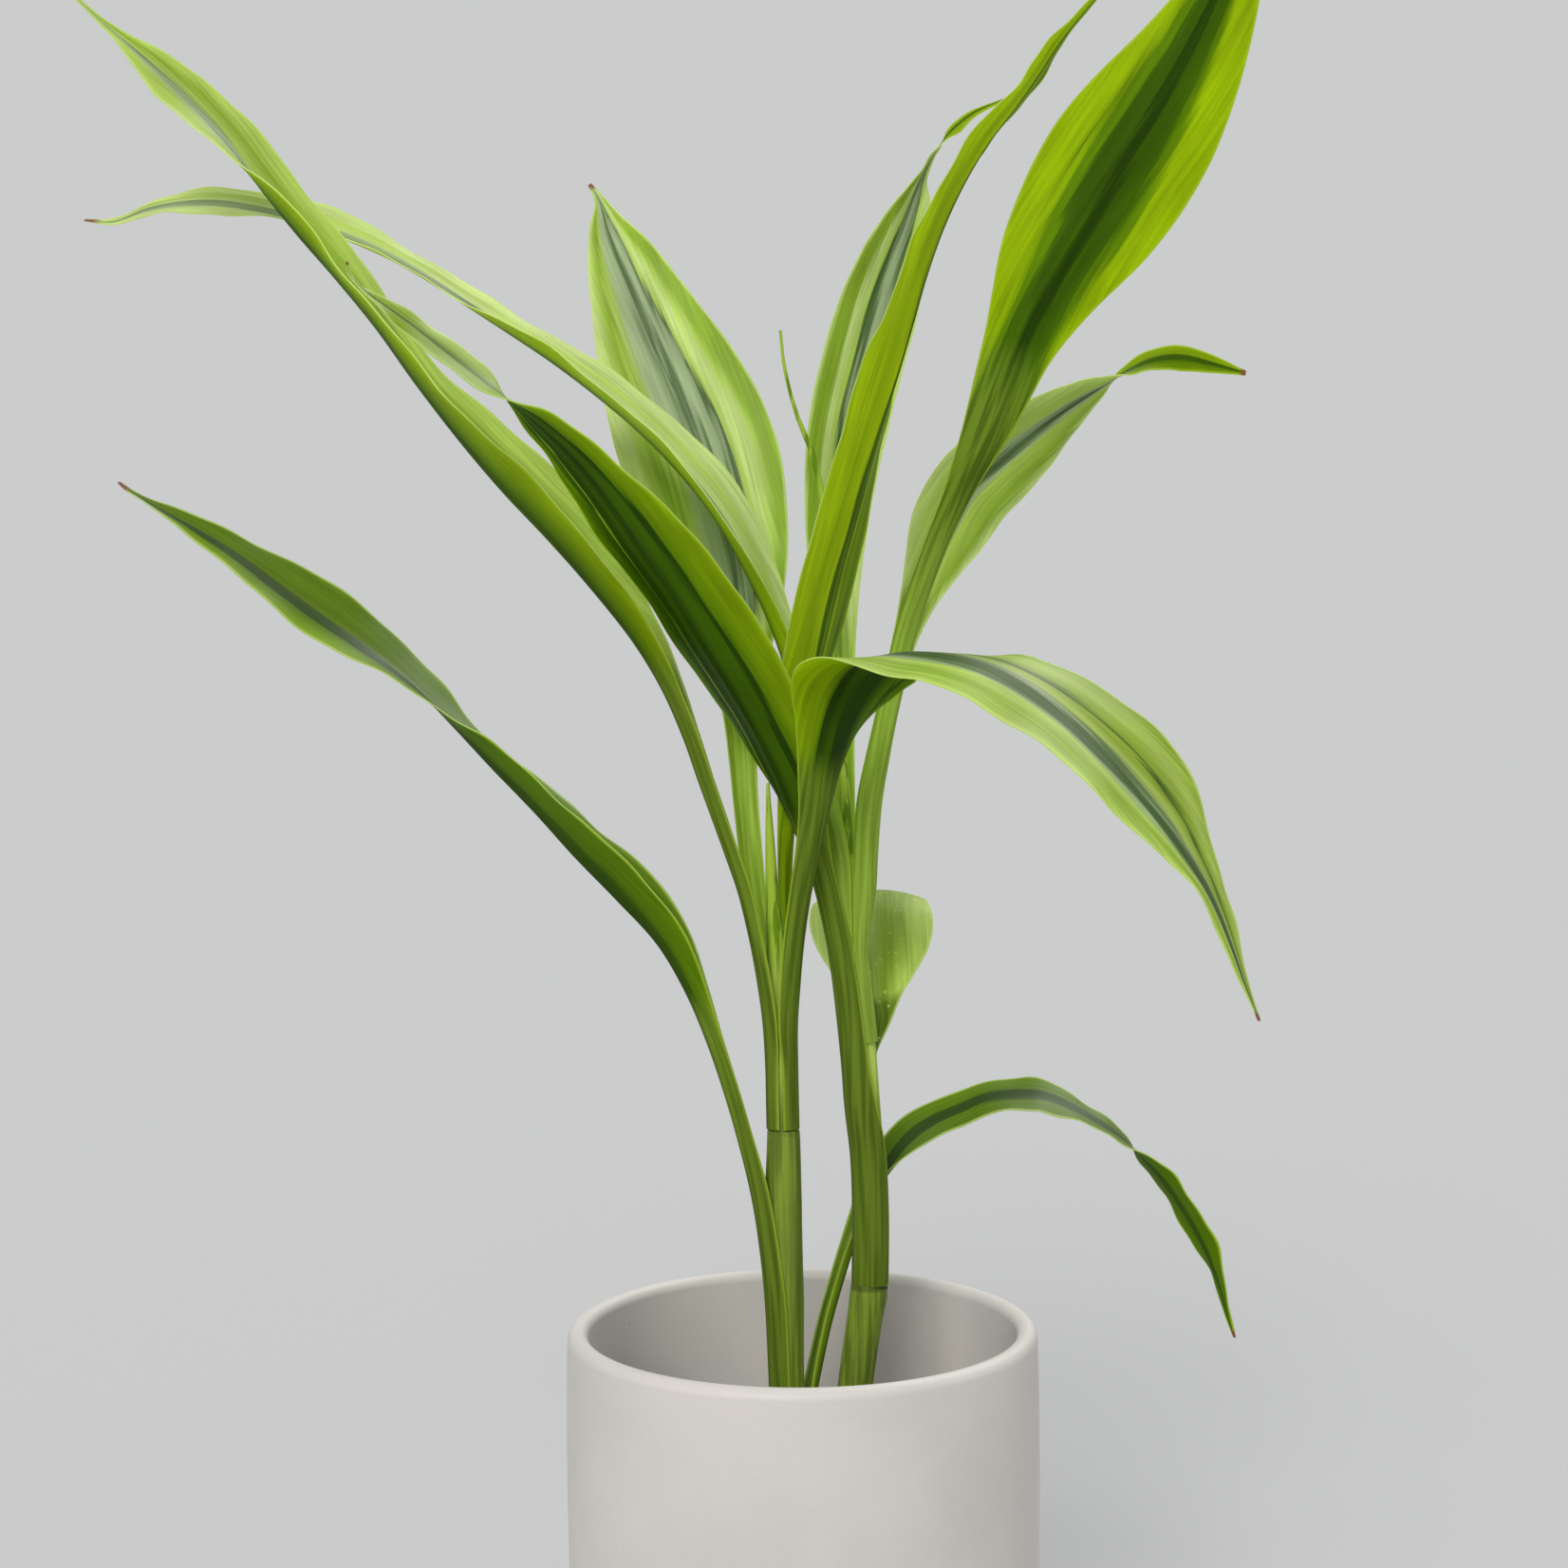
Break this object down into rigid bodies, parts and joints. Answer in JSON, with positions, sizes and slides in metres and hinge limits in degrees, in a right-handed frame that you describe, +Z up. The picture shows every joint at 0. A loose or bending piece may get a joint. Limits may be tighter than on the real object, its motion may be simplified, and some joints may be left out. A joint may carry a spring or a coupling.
{
  "type": "potted lucky bamboo",
  "caption": "Young variegated lucky bamboo whose leafy shoots carry long, arching, striped leaves, growing in soil in a plain matte ceramic cylinder pot.",
  "frame": {"origin": "centre of the pot's flat base", "axes": "+Z up along the pot's axis; -Y towards the side that the plant is seen from, +X to that viewer's right"},
  "size_m": [0.2975, 0.185, 0.4314],
  "materials": {
    "pot": "matte unglazed",
    "soil": "rough, crumbly",
    "cane": "smooth, slightly waxy",
    "leaf": "soft satin, waxy"
  },
  "bodies": {
    "root": {"pot": "pot", "soil": "soil", "left_stem": "cane", "right_stem": "cane", "leaf_low_left": "leaf", "leaf_low_right": "leaf", "leaf_left_long": "leaf", "leaf_left_arched": "leaf", "leaf_front_left": "leaf", "leaf_back_broad": "leaf", "leaf_front_drooping": "leaf", "leaf_centre_upright": "leaf", "leaf_centre_back": "leaf", "leaf_right_tall": "leaf", "leaf_right_small": "leaf", "leaf_back_arched": "leaf"}
  },
  "joints": []
}
